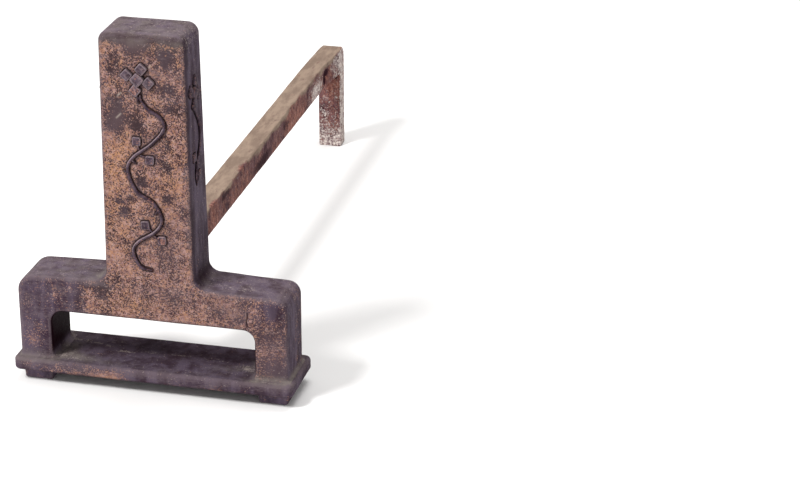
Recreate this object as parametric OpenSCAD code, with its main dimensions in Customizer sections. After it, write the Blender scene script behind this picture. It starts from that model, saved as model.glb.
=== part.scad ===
// Andiron with a hollow cast pillar, a bridge on a base plate and a forged bar.
// X runs across the front, +Y towards the back of the hearth, +Z up.
// The origin is on the hearth, in the middle of the whole andiron.

/* [Overall] */
// Depth from the front of the base plate to the back of the rear leg
total_depth = 762; // [500:1:1000]
// Height of the pillar above the hearth
pillar_h = 397.5; // [360:0.5:460]

/* [Base plate and feet] */
// Width of the base plate
plate_w = 307.5; // [302:0.5:360]
// Thickness of the base plate
plate_thick = 15; // [13:0.5:22]
// How far the plate stands out in front of the bridge
plate_front = 9.5; // [4:0.5:20]
// How far the plate stands out behind the bridge
plate_back = 14.5; // [4:0.5:30]
// Radius of the plate's softened edges
plate_edge = 6; // [2:0.5:6]
// Radius of the plate's corners, seen from above
plate_corner = 8; // [7:0.5:14]
// Height of the feet under the plate
foot_h = 13; // [8:0.5:24]
// Width of a foot at the floor
foot_w = 32; // [26:0.5:34]
// How far a foot's sides flare out between the floor and the plate
foot_flare = 2; // [0.5:0.5:4]
// Distance from the plate's end to a foot's outer side, where they meet
foot_setback = 6; // [6:0.5:12]
// Distance from the plate's front and back to a foot, where they meet
foot_inset = 9; // [7:0.5:14]

/* [Bridge] */
// Width of the bridge over its two legs
bridge_w = 295; // [284:0.5:300]
// Depth of the bridge from front to back
bridge_d = 57; // [52:0.5:80]
// Width of the opening under the bridge
opening_w = 222; // [180:0.5:224]
// Height of the opening above the base plate
opening_h = 53.5; // [40:0.5:70]
// Height of the bridge's beam at its middle
beam_h = 43.5; // [36:0.5:52]
// How far the beam's top falls from its middle to its ends
beam_fall = 5; // [1:0.5:6]
// Radius of the beam's outer corners
shoulder_r = 15; // [6:0.5:16]
// Radius of the opening's upper corners
opening_r = 13; // [6:0.5:18]

/* [Pillar] */
// Width of the pillar where it rises from the bridge
pillar_w = 96.5; // [92:0.5:110]
// Width of the pillar at its top
pillar_top_w = 91.5; // [84:0.5:96]
// Depth of the pillar at its top
pillar_top_d = 52; // [46:0.5:57]
// Radius of the hollows where the pillar meets the bridge
pillar_fillet = 11.5; // [6:0.5:16]
// Radius of the pillar's top corners
crown_r = 11.5; // [6:0.5:20]
// Radius of the casting's softened front and back edges
cast_edge = 4; // [1:0.5:5]
// Thickness of the casting's walls
wall = 7; // [5:0.5:9]

/* [Bar] */
// Width of the bar
bar_w = 25.5; // [20:0.5:28]
// Height of the bar
bar_h = 31; // [26:0.5:34]
// Height of the bar's top above the hearth
bar_top = 131.5; // [128:0.5:150]
// Bar's centre line, measured from the middle of the pillar
bar_x = -8; // [-12:0.5:4]
// Bevel along the bar's edges
bar_bevel = 1.5; // [0.5:0.5:3]
// Width of the rear leg, which is forged flatter than the bar
leg_w = 30; // [28:0.5:40]
// Thickness of the rear leg
leg_thick = 21; // [14:0.5:28]
// Rear leg's centre line, measured from the middle of the pillar
leg_x = -4.5; // [-8:0.5:2]
// Length over which the bar widens into the leg
flare_l = 60; // [30:1:120]
// Radius of the bend's outer corner
bend_r = 4; // [2:0.5:10]

/* [Bar bolts] */
// Diameter of the two bolts through the bar
bolt_d = 8; // [6:0.5:10]
// Distance between the two bolts
bolt_pitch = 22; // [18:0.5:26]
// Width across the flats of the bolt heads and nuts
bolt_flats = 13; // [12:0.5:16]
// Height of a bolt head
bolt_head_h = 5.5; // [4:0.5:8]
// Height of a nut
nut_h = 6.5; // [5:0.5:9]
// Length of thread that stands out past a nut
bolt_tail = 3; // [1:0.5:8]
// Thickness of a washer
washer_t = 2; // [1:0.5:3]
// Outer diameter of a washer
washer_d = 17; // [16:0.5:20]
// Thickness of the two lugs that grip the bar
lug_t = 8; // [5:0.5:12]
// How far the lugs stand above the bar
lug_rise = 8; // [2:0.5:20]
// Gap between the lugs' back ends and the pillar's back face
lug_back = 4; // [1:0.5:8]

/* [Plate screws] */
// Diameter of the screws that hold the feet and the plate
screw_d = 6.5; // [5:0.5:8]
// Diameter of the screws' countersunk heads
screw_head_d = 13; // [11:0.5:15]
// Distance between the two screws of a foot
screw_pitch = 32; // [24:0.5:40]
// Depth that the screws reach into the bridge's legs
screw_grip = 24; // [12:0.5:32]
// How far the heads lie above the floor
screw_recess = 1.5; // [0.5:0.5:4]
// Width of the driving slot in a screw head
slot_w = 1.6; // [1:0.1:2.5]
// Depth of the driving slot
slot_depth = 2; // [1:0.1:3]

/* [Flower and vine] */
// Side of a square petal
petal_w = 10; // [8:0.5:11]
// Height of a petal above the face
petal_h = 3.4; // [2:0.1:6]
// Side of the square boss at the flower's centre
boss_w = 11; // [9:0.5:12]
// Height of the boss above the face
boss_h = 5; // [3:0.1:8]
// Distance from the flower's centre to a petal's centre
petal_reach = 12; // [11:0.5:14]
// Side of a square leaf
leaf_w = 9; // [7:0.5:10]
// Height of a leaf above the face
leaf_h = 2; // [1:0.1:4]
// Width of the vine's stem
stem_w = 4.6; // [3:0.1:6]
// Height of the stem above the face
stem_h = 3.2; // [2:0.1:5]
// Extra width of the stem at its knuckles
knuckle = 0.9; // [0:0.1:1.5]
// Distance from the pillar's top to the front flower's centre
front_flower_drop = 48.5; // [40:0.5:60]
// Front flower's centre, measured from the middle of the pillar
front_flower_x = -4.5; // [-8:0.5:0]
// Distance from the pillar's top to a side flower's centre
side_flower_drop = 67; // [45:0.5:80]
// Side flower's centre, measured from the middle of the pillar's depth
side_flower_y = -2.5; // [-6:0.5:0]
// Height of the side relief as a share of the front relief's height
side_relief = 0.6; // [0.5:0.05:1]

/* [Fits] */
// Clearance between the bar and each lug, and in front of the bar
bar_clear = 0.3; // [0.1:0.1:0.6]
// Radial clearance round the bolts and in the screws' passage holes
bolt_clear = 0.3; // [0.1:0.1:0.6]
// Radial clearance of the screws in the legs' threaded holes
thread_clear = 0.05; // [0.02:0.01:0.1]
// Clearance between neighbouring pieces of the flower and vine
trim_clear = 0.2; // [0.1:0.05:0.4]

/* [Hidden] */
$fn = 48;

arc_steps = 6;          // facets on a rounded corner of a casting's outline
trim_steps = 3;         // facets on a corner of a petal or leaf
edge_steps = 4;         // facets across a softened edge
over = 1;               // cutters run this far past the face that they cut
drill_past = 1;         // drilled holes run this far past the screw's end
boss_turn = 48;         // turn of the square boss
boss_edge = 2.2;        // softened edges and corners of the flower and leaves
petal_edge = 0.9;
petal_corner = 1.2;
leaf_edge = 0.7;
leaf_corner = 1.4;

// Heights above the hearth
plate_z = foot_h;
bridge_z = plate_z + plate_thick;
opening_top = bridge_z + opening_h;
beam_top = opening_top + beam_h;
bar_z = bar_top - bar_h / 2;

// Places along Y
front_y = -total_depth / 2;
back_y = total_depth / 2;
standard_y = front_y + plate_front + bridge_d / 2;
plate_d = plate_front + bridge_d + plate_back;
plate_y = front_y + plate_d / 2;
leg_y = back_y - leg_thick;

// The taper starts above the hollow where the pillar meets the bridge
taper_z = beam_top + pillar_fillet + 2;
face_lean = (bridge_d - pillar_top_d) / 2 / (pillar_h - taper_z);
side_lean = (pillar_w - pillar_top_w) / 2 / (pillar_h - beam_top);

// Hollow of the casting
hollow_front = -(pillar_top_d / 2 - wall);
hollow_floor = opening_top + wall;

// Lugs, bolts and their hardware, along X
lug_x = bar_w / 2 + bar_clear;
lug_out = lug_x + lug_t;
bolt_y = (hollow_front + bridge_d / 2 - lug_back) / 2;

// Feet and screws
foot_top_w = foot_w + 2 * foot_flare;
foot_x = plate_w / 2 - foot_setback - foot_top_w / 2;
foot_top_d = plate_d - 2 * foot_inset;
screw_spots = [for (side = [-1, 1], row = [-1, 1]) [side * foot_x, plate_y + row * screw_pitch / 2]];
head_h = (screw_head_d - screw_d) / 2;

// Knots of the stems: across from the pillar's middle, and up from the flower
front_knots = [
    [-4.5, -18.5], [5, -30.5], [17.5, -38.5], [22, -50.5], [8, -68], [-12, -84], [-18.5, -98.5],
    [-10, -121], [8, -133], [16, -150], [9, -164], [-10, -177], [-16, -189], [-9, -204.5], [3, -208],
];
side_knots = [[-3, -18.5], [6, -31], [11, -43], [10, -57], [3, -69], [-4, -79], [-7, -89], [-4, -98]];
// Leaves: across, up from the flower, and turn
front_leaves = [[-8, -66.5, -3], [5.5, -86, -4], [-2, -158, 5], [15.5, -173.5, 4]];
side_leaves = [[-8.5, -68, -4], [3.5, -91, 5]];
// Petals: direction from the boss, and turn of the square itself
petals = [[69, 50], [-14, 48], [-103, 52], [160, 47]];

// ---------------------------------------------------------------- outlines

function unit(v) = v / norm(v);

// Points of the arc that rounds corner b between its neighbours a and c
function corner(a, b, c, r, steps) =
    r <= 0 ? [b] :
    let (
        u = unit(a - b),
        v = unit(c - b),
        half = acos(u * v) / 2,
        centre = b + unit(u + v) * r / sin(half),
        start = b + u * r / tan(half) - centre,
        turn = (u.x * v.y - u.y * v.x > 0 ? -1 : 1) * (180 - 2 * half)
    )
    [for (i = [0 : steps]) let (t = turn * i / steps)
        centre + [start.x * cos(t) - start.y * sin(t), start.x * sin(t) + start.y * cos(t)]];

// Closed outline from corners given as [x, y, radius], anticlockwise
function rounded(corners, steps = arc_steps) =
    let (n = len(corners), at = function (i) [corners[(i + n) % n].x, corners[(i + n) % n].y])
    [for (i = [0 : n - 1]) each corner(at(i - 1), at(i), at(i + 1), corners[i][2], steps)];

function rounded_box(w, d, r, steps = arc_steps) =
    rounded([[-w / 2, -d / 2, r], [w / 2, -d / 2, r], [w / 2, d / 2, r], [-w / 2, d / 2, r]], steps);

// Inward normal of the edge from a to b of an anticlockwise outline
function inward(a, b) = let (d = unit(b - a)) [-d.y, d.x];

// The outline drawn in by t on every edge
function inset(path, t) =
    let (n = len(path))
    [for (i = [0 : n - 1]) let (
        m = inward(path[(i + n - 1) % n], path[i]),
        k = inward(path[i], path[(i + 1) % n])
    ) path[i] + t * (m + k) / (1 + m * k)];

// Steps of a softened slab, from its low to its high face, as [inset, height]
function slab_levels(height, low, high) = concat(
    low > 0 ? [for (i = [0 : edge_steps]) let (a = 90 * i / edge_steps)
        [low * (1 - sin(a)), low * (1 - cos(a))]] : [[0, 0]],
    high > 0 ? [for (i = [edge_steps : -1 : 0]) let (a = 90 * i / edge_steps)
        [high * (1 - sin(a)), height - high * (1 - cos(a))]] : [[0, height]]);

// Smooth line through the knots, with steps points from each knot to the next
function smooth_line(knots, steps) =
    let (n = len(knots), at = function (i) knots[max(0, min(n - 1, i))])
    [for (i = [0 : n - 2], s = [0 : steps - (i == n - 2 ? 0 : 1)])
        let (t = s / steps, a = at(i - 1), b = at(i), c = at(i + 1), d = at(i + 2))
        0.5 * (2 * b + (c - a) * t + (2 * a - 5 * b + 4 * c - d) * t ^ 2
            + (3 * b - a - 3 * c + d) * t ^ 3)];

// ------------------------------------------------------------------ solids

// Closed solid through rings of points, anticlockwise about the way they climb.
// The end faces are convex, so an outline with hollows brings a list of them.
module skin(rings, end_faces = undef) {
    n = len(rings[0]);
    last = (len(rings) - 1) * n;
    ends = is_undef(end_faces) ? [[for (i = [0 : n - 1]) i]] : end_faces;
    polyhedron(
        points = [for (ring = rings) each ring],
        faces = concat(
            [for (k = [0 : len(rings) - 2], i = [0 : n - 1]) let (j = (i + 1) % n)
                [k * n + i, (k + 1) * n + i, (k + 1) * n + j, k * n + j]],
            ends,
            [for (end = ends) [for (i = [len(end) - 1 : -1 : 0]) last + end[i]]]),
        convexity = 10);
}

// Upright slab on an outline, with its low and high edges softened
module soft_slab(path, height, low, high) {
    skin([for (level = slab_levels(height, low, high))
        [for (p = inset(path, level[0])) [p.x, p.y, level[1]]]]);
}

// Frames whose X runs across a face of the pillar, Y up it and Z out of it,
// with the origin where the face starts to lean back
module on_front() {
    translate([0, standard_y - bridge_d / 2, taper_z])
        rotate([90 - atan(face_lean), 0, 0])
            children();
}

module on_side(side) {
    reach = pillar_w / 2 - side_lean * (taper_z - beam_top);
    translate([side * reach, standard_y, taper_z])
        rotate([0, 0, side * 90])
            rotate([90 - atan(side_lean), 0, 0])
                children();
}

// Height of a flower's centre up the face it is on
function flower_up(drop) = pillar_h - drop - taper_z;

// ---------------------------------------------------------- front standard

beam_end_top = beam_top - beam_fall;
shoulder_z = beam_top - beam_fall * pillar_w / bridge_w;
taper_w = pillar_w - 2 * side_lean * (taper_z - beam_top);

right_outline = [
    [bridge_w / 2, bridge_z, 0],
    [bridge_w / 2, beam_end_top, shoulder_r],
    [pillar_w / 2, shoulder_z, pillar_fillet],
    [taper_w / 2, taper_z, 0],
    [pillar_top_w / 2, pillar_h, crown_r],
];
opening_outline = [
    [-opening_w / 2, bridge_z, 0],
    [-opening_w / 2, opening_top, opening_r],
    [opening_w / 2, opening_top, opening_r],
    [opening_w / 2, bridge_z, 0],
];
left_outline = [for (i = [len(right_outline) - 1 : -1 : 0]) let (p = right_outline[i]) [-p.x, p.y, p[2]]];
standard_outline = rounded(concat(right_outline, left_outline, opening_outline));

// Half the standard's depth at a height
function half_depth(z) = bridge_d / 2 - max(0, z - taper_z) * face_lean;

// Places in the outline: a rounded corner takes `arc` points and a sharp one takes 1
arc = arc_steps + 1;
function mirrored(i) = 6 * arc + 3 - i;
function right_inner(i) = 8 * arc + 5 - i;
function left_inner(i) = 6 * arc + 4 + i;

// The front view, parted into convex faces: the pillar, its hollowed foot,
// the two legs with the beam's corners, and the middle of the beam
standard_faces = concat(
    [[for (i = [2 * arc + 1 : 4 * arc + 2]) i]],
    [for (i = [arc + 1 : 2 * arc]) [i, i + 1, mirrored(i + 1), mirrored(i)]],
    [for (i = [0 : arc - 1]) [i, i + 1, right_inner(i + 1), right_inner(i)]],
    [for (i = [0 : arc - 1]) [mirrored(i), left_inner(i), left_inner(i + 1), mirrored(i + 1)]],
    [[arc, arc + 1, mirrored(arc + 1), mirrored(arc), left_inner(arc), right_inner(arc)]]);

module standard_body() {
    skin(
        [for (level = slab_levels(bridge_d, cast_edge, cast_edge))
            [for (p = inset(standard_outline, level[0]))
                let (y = level[1] < bridge_d / 2 ? half_depth(p.y) - level[1]
                    : bridge_d - level[1] - half_depth(p.y))
                [p.x, standard_y + y, p.y]]],
        standard_faces);
}

// Prism that runs from the hollow's front to past the casting's back
module back_cut(corners) {
    translate([0, standard_y + bridge_d / 2 + over, 0])
        rotate([90, 0, 0])
            linear_extrude(bridge_d / 2 + over - hollow_front)
                polygon(corners);
}

module standard_hollow() {
    base_x = pillar_w / 2 - wall;
    top_x = pillar_top_w / 2 - wall;
    back_cut([
        [-base_x, hollow_floor], [base_x, hollow_floor], [base_x, beam_top],
        [top_x, pillar_h - wall], [-top_x, pillar_h - wall], [-base_x, beam_top],
    ]);
    end_x = bridge_w / 2 - wall;
    under = beam_end_top - wall;
    rise = beam_fall * (end_x - base_x) / (bridge_w / 2);
    corner_cut = shoulder_r / 3;
    for (side = [-1, 1])
        back_cut([
            [side * (base_x - over), hollow_floor], [side * end_x, hollow_floor],
            [side * end_x, under - corner_cut], [side * (end_x - corner_cut), under],
            [side * (base_x - over), under + rise],
        ]);
}

module lugs() {
    depth = bridge_d / 2 - lug_back - hollow_front;
    for (left = [-lug_out, lug_x])
        translate([bar_x + left, standard_y + hollow_front - over, hollow_floor - over])
            cube([lug_t, depth + over, bar_top + lug_rise - hollow_floor + over]);
}

// Lays its children along X at both bolts
module at_bolts() {
    for (row = [-1, 1])
        translate([bar_x, standard_y + bolt_y + row * bolt_pitch / 2, bar_z])
            rotate([0, 90, 0])
                children();
}

module at_screws() {
    for (spot = screw_spots)
        translate([spot.x, spot.y, 0])
            children();
}

module front_standard() {
    color([0.56, 0.40, 0.31])
        difference() {
            union() {
                difference() {
                    standard_body();
                    standard_hollow();
                }
                lugs();
            }
            at_bolts()
                translate([0, 0, -lug_out - over])
                    cylinder(d = bolt_d + 2 * bolt_clear, h = 2 * (lug_out + over));
            at_screws()
                translate([0, 0, bridge_z - over])
                    cylinder(d = screw_d + 2 * thread_clear, h = over + screw_grip + drill_past);
        }
}

// -------------------------------------------------------------------- base

module base_plate() {
    color([0.50, 0.45, 0.41])
        difference() {
            translate([0, plate_y, plate_z])
                soft_slab(rounded_box(plate_w, plate_d, plate_corner), plate_thick, plate_edge, plate_edge);
            at_screws()
                translate([0, 0, plate_z - over])
                    cylinder(d = screw_d + 2 * bolt_clear, h = plate_thick + 2 * over);
        }
}

// A foot flares from the floor up to the plate
module foot(side) {
    low = rounded_box(foot_w, foot_top_d - 2 * foot_flare, 4);
    difference() {
        translate([side * foot_x, plate_y, 0])
            skin([for (level = slab_levels(foot_h, 2.5, 0))
                [for (p = inset(low, level[0] - foot_flare * level[1] / foot_h)) [p.x, p.y, level[1]]]]);
        at_screws() {
            translate([0, 0, -over])
                cylinder(d = screw_d + 2 * bolt_clear, h = foot_h + 2 * over);
            translate([0, 0, -over])
                cylinder(d = screw_head_d + 2 * bolt_clear, h = screw_recess + over);
            translate([0, 0, screw_recess])
                cylinder(d1 = screw_head_d + 2 * bolt_clear, d2 = screw_d + 2 * bolt_clear, h = head_h);
        }
    }
}

module left_foot() {
    color([0.27, 0.24, 0.26]) foot(-1);
}

module right_foot() {
    color([0.27, 0.24, 0.26]) foot(1);
}

module plate_screws() {
    color([0.35, 0.33, 0.32])
        at_screws()
            difference() {
                union() {
                    translate([0, 0, screw_recess])
                        cylinder(d1 = screw_head_d, d2 = screw_d, h = head_h);
                    translate([0, 0, screw_recess + head_h])
                        cylinder(d = screw_d, h = bridge_z + screw_grip - screw_recess - head_h);
                }
                translate([-screw_head_d, -slot_w / 2, screw_recess - over])
                    cube([2 * screw_head_d, slot_w, slot_depth + over]);
            }
}

// --------------------------------------------------------------------- bar

// Outline of the bar with bevelled corners, seen from the front
function bevelled(w, h, bevel) = [
    [bevel, 0], [w - bevel, 0], [w, bevel], [w, h - bevel],
    [w - bevel, h], [bevel, h], [0, h - bevel], [0, bevel],
];

module billet_bar() {
    start_y = standard_y + hollow_front + bar_clear;
    low = bar_top - bar_h;
    left = bar_x - bar_w / 2;
    leg_left = leg_x - leg_w / 2;
    color([0.50, 0.38, 0.35])
        difference() {
            union() {
                // Straight bar, from inside the casting to where it widens
                translate([left, leg_y - flare_l, low])
                    rotate([90, 0, 0])
                        linear_extrude(leg_y - flare_l - start_y)
                            polygon(bevelled(bar_w, bar_h, bar_bevel));
                // Widening end, from the leg's front to the straight bar
                skin([for (end = [[leg_left, leg_y, leg_w], [left, leg_y - flare_l, bar_w]])
                    [for (p = bevelled(end[2], bar_h, bar_bevel)) [end.x + p.x, end.y, low + p.y]]]);
                // Leg, turned down from the bar, with the bend's corner rounded
                translate([leg_left, 0, 0])
                    rotate([90, 0, 90])
                        linear_extrude(leg_w)
                            difference() {
                                translate([leg_y, 0])
                                    square([leg_thick, bar_top]);
                                translate([back_y - bend_r, bar_top - bend_r])
                                    difference() {
                                        square(bend_r + over);
                                        circle(bend_r);
                                    }
                            }
            }
            at_bolts()
                translate([0, 0, -bar_w / 2 - over])
                    cylinder(d = bolt_d + 2 * bolt_clear, h = bar_w + 2 * over);
        }
}

module bar_bolts() {
    color([0.33, 0.30, 0.30])
        at_bolts() {
            translate([0, 0, -lug_out - bolt_head_h / 2])
                cube([bolt_flats, bolt_flats, bolt_head_h], center = true);
            translate([0, 0, -lug_out])
                cylinder(d = bolt_d, h = 2 * lug_out + washer_t + nut_h + bolt_tail);
        }
}

module bar_washers() {
    color([0.40, 0.37, 0.36])
        at_bolts()
            translate([0, 0, lug_out])
                difference() {
                    cylinder(d = washer_d, h = washer_t);
                    translate([0, 0, -over])
                        cylinder(d = bolt_d + 2 * bolt_clear, h = washer_t + 2 * over);
                }
}

module bar_nuts() {
    color([0.33, 0.30, 0.30])
        at_bolts()
            translate([0, 0, lug_out + washer_t])
                difference() {
                    translate([-bolt_flats / 2, -bolt_flats / 2, 0])
                        cube([bolt_flats, bolt_flats, nut_h]);
                    translate([0, 0, -over])
                        cylinder(d = bolt_d + 2 * thread_clear, h = nut_h + 2 * over);
                }
}

// --------------------------------------------------------- flower and vine

// Boss at the flower's centre, which the petals are cut back to clear
module boss() {
    rotate(boss_turn)
        soft_slab(rounded_box(boss_w, boss_w, boss_w / 4, trim_steps), boss_h, 0, boss_edge);
}

module petal_ring() {
    seat = boss_w + 2 * trim_clear;
    for (petal = petals)
        difference() {
            translate(petal_reach * [cos(petal[0]), sin(petal[0]), 0])
                rotate(petal[1])
                    soft_slab(
                        rounded_box(petal_w, petal_w, petal_corner, trim_steps), petal_h, 0, petal_edge);
            translate([0, 0, -over])
                rotate(boss_turn)
                    linear_extrude(petal_h + 2 * over)
                        polygon(rounded_box(seat, seat, boss_w / 4, trim_steps));
        }
}

// Half-round stem along a line, with a knuckle every few steps and fine ends
module stem(knots) {
    steps = 4;
    line = smooth_line(knots, steps);
    n = len(line);
    skin([for (i = [0 : n - 1]) let (
        along = unit(line[min(n - 1, i + 1)] - line[max(0, i - 1)]),
        across = [along.y, -along.x],
        at_end = min(1, 0.55 + 0.15 * min(i, n - 1 - i)),
        swell = (i % (3 * steps) == steps) ? knuckle / 2 : 0,
        half = at_end * stem_w / 2 + swell,
        top = at_end * stem_h + swell / 2
    ) [for (a = [0 : 30 : 180])
        [line[i].x - across.x * half * cos(a), line[i].y - across.y * half * cos(a), top * sin(a)]]]);
}

module leaf_set(leaves) {
    for (leaf = leaves)
        translate([leaf.x, leaf.y, 0])
            rotate(leaf[2])
                soft_slab(rounded_box(leaf_w, leaf_w, leaf_corner, trim_steps), leaf_h, 0, leaf_edge);
}

ornament_tint = [0.36, 0.33, 0.34];

// Lays its children on the front face at the flower's height
module at_front_flower(across = 0) {
    on_front()
        translate([across, flower_up(front_flower_drop), 0])
            children();
}

module front_flower_boss() {
    color(ornament_tint) at_front_flower(front_flower_x) boss();
}

module front_flower_petals() {
    color(ornament_tint) at_front_flower(front_flower_x) petal_ring();
}

module front_vine_stem() {
    color(ornament_tint) at_front_flower() stem(front_knots);
}

module front_vine_leaves() {
    color(ornament_tint) at_front_flower() leaf_set(front_leaves);
}

// Lays its children, lowered, on a side face at the flower's height; the left side mirrors the right
module at_side_flower(side, across = 0) {
    on_side(side)
        translate([0, flower_up(side_flower_drop), 0])
            mirror([side < 0 ? 1 : 0, 0, 0])
                translate([across, 0, 0])
                    scale([1, 1, side_relief])
                        children();
}

module right_flower_boss() {
    color(ornament_tint) at_side_flower(1, side_flower_y) boss();
}

module right_flower_petals() {
    color(ornament_tint) at_side_flower(1, side_flower_y) petal_ring();
}

module right_vine_stem() {
    color(ornament_tint) at_side_flower(1) stem(side_knots);
}

module right_vine_leaves() {
    color(ornament_tint) at_side_flower(1) leaf_set(side_leaves);
}

module left_flower_boss() {
    color(ornament_tint) at_side_flower(-1, side_flower_y) boss();
}

module left_flower_petals() {
    color(ornament_tint) at_side_flower(-1, side_flower_y) petal_ring();
}

module left_vine_stem() {
    color(ornament_tint) at_side_flower(-1) stem(side_knots);
}

module left_vine_leaves() {
    color(ornament_tint) at_side_flower(-1) leaf_set(side_leaves);
}

front_standard();
base_plate();
left_foot();
right_foot();
plate_screws();
billet_bar();
bar_bolts();
bar_washers();
bar_nuts();
front_flower_boss();
front_flower_petals();
front_vine_stem();
front_vine_leaves();
right_flower_boss();
right_flower_petals();
right_vine_stem();
right_vine_leaves();
left_flower_boss();
left_flower_petals();
left_vine_stem();
left_vine_leaves();
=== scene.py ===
# %% [markdown]
# # An old andiron
# An andiron holds burning logs off the hearth. This one is a hollow cast pillar that stands on a bridge and
# a base plate, with a flower and a winding vine in relief. A wrought bar runs back from it and turns down
# into a rear leg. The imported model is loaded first. It is the fixed frame that every finer piece is built
# on.

# %% Load the frame
import math

import bmesh
import bpy
import numpy as np
from mathutils import Matrix, Vector, noise


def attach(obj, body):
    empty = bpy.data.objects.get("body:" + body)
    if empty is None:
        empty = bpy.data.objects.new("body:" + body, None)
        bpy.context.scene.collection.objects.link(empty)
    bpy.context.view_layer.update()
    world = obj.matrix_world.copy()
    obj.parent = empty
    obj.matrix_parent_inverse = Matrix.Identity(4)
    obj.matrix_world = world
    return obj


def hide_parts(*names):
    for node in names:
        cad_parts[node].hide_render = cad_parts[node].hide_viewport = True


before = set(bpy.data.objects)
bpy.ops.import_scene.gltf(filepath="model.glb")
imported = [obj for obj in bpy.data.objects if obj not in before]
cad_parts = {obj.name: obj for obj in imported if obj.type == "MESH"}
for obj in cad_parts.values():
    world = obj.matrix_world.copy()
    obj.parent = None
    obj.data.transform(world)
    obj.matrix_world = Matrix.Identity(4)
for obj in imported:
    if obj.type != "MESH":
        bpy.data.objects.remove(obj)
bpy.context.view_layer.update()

# %% [markdown]
# The picture was taken from above and from the right, with a long lens, so the andiron's edges run almost
# parallel. The camera stands where the pillar, the bridge and the bar line up as they do in that picture.

# %% Camera
scene = bpy.context.scene


def add_object(name, data):
    item = bpy.data.objects.new(name, data)
    scene.collection.objects.link(item)
    return item


camera = add_object("camera", bpy.data.cameras.new("camera"))
camera.data.lens = 116.8
camera.data.sensor_width = 36
camera.location = (0.8272, -2.6886, 1.2371)
camera.rotation_euler = (math.radians(66.475), 0, math.radians(13.599))
scene.camera = camera
scene.view_settings.view_transform = "Standard"

# %% [markdown]
# A plain pale floor and soft light from above, in front and to the left. The world fills the shadows.

# %% Floor and light
def mesh_from(bm, name):
    mesh = bpy.data.meshes.new(name)
    bm.to_mesh(mesh)
    bm.free()
    return mesh


def new_material(name):
    material = bpy.data.materials.new(name)
    material.use_nodes = True
    return material, material.node_tree.nodes["Principled BSDF"].inputs


def stage_floor():
    bm = bmesh.new()
    bmesh.ops.create_grid(bm, x_segments=1, y_segments=1, size=6)
    floor = add_object("floor", mesh_from(bm, "floor"))
    paint, shader = new_material("floor_paint")
    shader["Base Color"].default_value = (0.86, 0.85, 0.84, 1)
    shader["Roughness"].default_value = 0.9
    floor.data.materials.append(paint)


def area_light(name, place, aim, size, power):
    light = add_object(name, bpy.data.lights.new(name, "AREA"))
    light.data.shape = "DISK"
    light.data.size = size
    light.data.energy = power
    light.location = place
    light.rotation_euler = (Vector(aim) - Vector(place)).to_track_quat("-Z", "Y").to_euler()


stage_floor()
area_light("key", (-1.6, -2.2, 3.0), (0, -0.2, 0.15), 1.0, 150)
area_light("front_fill", (2.6, -2.6, 1.2), (0, -0.2, 0.2), 2.5, 6)
area_light("top_fill", (0.3, 0.6, 3.0), (0, -0.1, 0.1), 1.8, 52)

world = bpy.data.worlds.new("world")
world.use_nodes = True
background = world.node_tree.nodes["Background"].inputs
background["Color"].default_value = (1, 1, 1, 1)
background["Strength"].default_value = 0.5
scene.world = world

# %% [markdown]
# Old iron never has one colour, so every finish here is made of nodes. Patterns are measured in millimetres
# on the object itself. These helpers add a node, do sums, stack colours and name a colour as it is seen on
# a screen.

# %% Helpers for finishes
def seen(red, green, blue):
    """A colour as a screen shows it, from 0 to 255, turned into the linear values that a shader works with"""
    shares = [c / 255 for c in (red, green, blue)]
    return (*[s / 12.92 if s < 0.0404 else ((s + 0.055) / 1.055) ** 2.4 for s in shares], 1)


def add_node(tree, kind, values=None, **settings):
    """Adds a node, sets or links its inputs, and gives back its outputs"""
    node = tree.nodes.new("ShaderNode" + kind)
    for key, value in settings.items():
        setattr(node, key, value)
    for key, value in (values or {}).items():
        if isinstance(value, bpy.types.NodeSocket):
            tree.links.new(value, node.inputs[key])
        else:
            node.inputs[key].default_value = value
    return node.outputs


def calc(tree, operation, *values):
    return add_node(tree, "Math", dict(enumerate(values)), operation=operation)[0]


def layered(tree, colour, *layers):
    """A colour under a stack of layers, each given as its share and its own colour"""
    for share, above in layers:
        colour = add_node(tree, "Mix", {0: share, 6: colour, 7: above}, data_type="RGBA")[2]
    return colour


def step_between(tree, value, low, high):
    values = {"Value": value, "From Min": low, "From Max": high}
    return add_node(tree, "MapRange", values, interpolation_type="SMOOTHSTEP")[0]


def stretched(tree, place, *scale):
    return add_node(tree, "Mapping", {"Vector": place, "Scale": scale})[0]


def sized_noise(tree, place, size, detail, roughness):
    """Noise whose blotches are about size millimetres across"""
    share = calc(tree, "DIVIDE", 1, size)
    sized = add_node(tree, "VectorMath", {0: place, "Scale": share}, operation="SCALE")[0]
    values = {"Vector": sized, "Scale": 1, "Detail": detail, "Roughness": roughness}
    return add_node(tree, "TexNoise", values)["Fac"]


def start_group(name, inputs, output, kind="Float"):
    """Starts a node group, whose inputs have a default number each, or only the kind of their socket"""
    group = bpy.data.node_groups.new(name, "ShaderNodeTree")
    for label, default in inputs.items():
        if isinstance(default, str):
            group.interface.new_socket(label, in_out="INPUT", socket_type="NodeSocket" + default)
        else:
            socket = group.interface.new_socket(label, in_out="INPUT", socket_type="NodeSocketFloat")
            socket.default_value = default
    group.interface.new_socket(output, in_out="OUTPUT", socket_type="NodeSocket" + kind)
    return group, group.nodes.new("NodeGroupInput").outputs, group.nodes.new("NodeGroupOutput").inputs[0]


def use_group(tree, group, values):
    return add_node(tree, "Group", values, node_tree=group)[0]


# %% [markdown]
# The copper colour on the front is what is left of an old coating. It breaks up in two ways: into ragged
# patches and into fine specks and single dots. One group makes that mask, from how much is left here,
# patches, grain and dots.

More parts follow.
